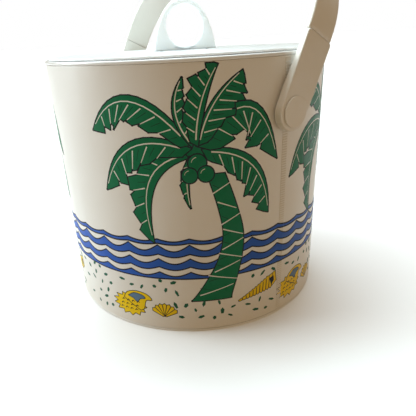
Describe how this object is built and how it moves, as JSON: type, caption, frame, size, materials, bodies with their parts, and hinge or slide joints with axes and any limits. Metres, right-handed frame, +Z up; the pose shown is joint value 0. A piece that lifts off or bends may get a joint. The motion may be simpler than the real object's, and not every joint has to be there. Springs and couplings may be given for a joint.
{
  "type": "lidded ice bucket",
  "caption": "Straight-sided insulated ice bucket in a printed vinyl wrap, with a lift-off lid, a flat loop knob and a swinging plastic bail.",
  "frame": {"origin": "centre of the underside", "axes": "+Z up; the bail's axis runs along X, with the wrap's seam under the +X pivot; the bail leans towards +Y at rest"},
  "size_m": [0.2208, 0.2046, 0.2605],
  "materials": {
    "bucket_white": "satin moulded plastic",
    "printed_vinyl": "printed vinyl sheet with a soft gloss",
    "liner_white": "smooth gloss",
    "rim_gloss": "high gloss",
    "lid_white": "soft gloss",
    "bail_white": "satin moulded plastic",
    "foam_core": "open foam",
    "plain_steel": "zinc plated"
  },
  "bodies": {
    "bucket": {"base_plate": "bucket_white", "base_insulation": "foam_core", "outer_shell": "bucket_white", "printed_wrap": "printed_vinyl", "ice_liner": "liner_white", "wall_insulation": "foam_core", "rim_ring": "rim_gloss", "pivot_pin_right": "plain_steel", "pivot_pin_left": "plain_steel", "pivot_nut_right": "plain_steel", "pivot_nut_left": "plain_steel"},
    "lid": {"lid_plate": "lid_white", "lid_plug": "lid_white", "lid_insulation": "foam_core", "lid_knob": "lid_white", "knob_screw_1": "plain_steel", "knob_screw_2": "plain_steel"},
    "bail": {"bail_grip": "bail_white", "bail_arm_right": "bail_white", "bail_arm_left": "bail_white", "pivot_cap_right": "bail_white", "pivot_cap_left": "bail_white"}
  },
  "joints": [
    {"name": "bail_swing", "type": "hinge", "parent": "bucket", "child": "bail", "pos_m": [0, 0, 0.148], "axis": [1, 0, 0], "range_deg": [-86, 138]},
    {"name": "lid_lift", "type": "slide", "parent": "bucket", "child": "lid", "axis": [0, 0, 1], "range_m": [0, 0.025]}
  ]
}
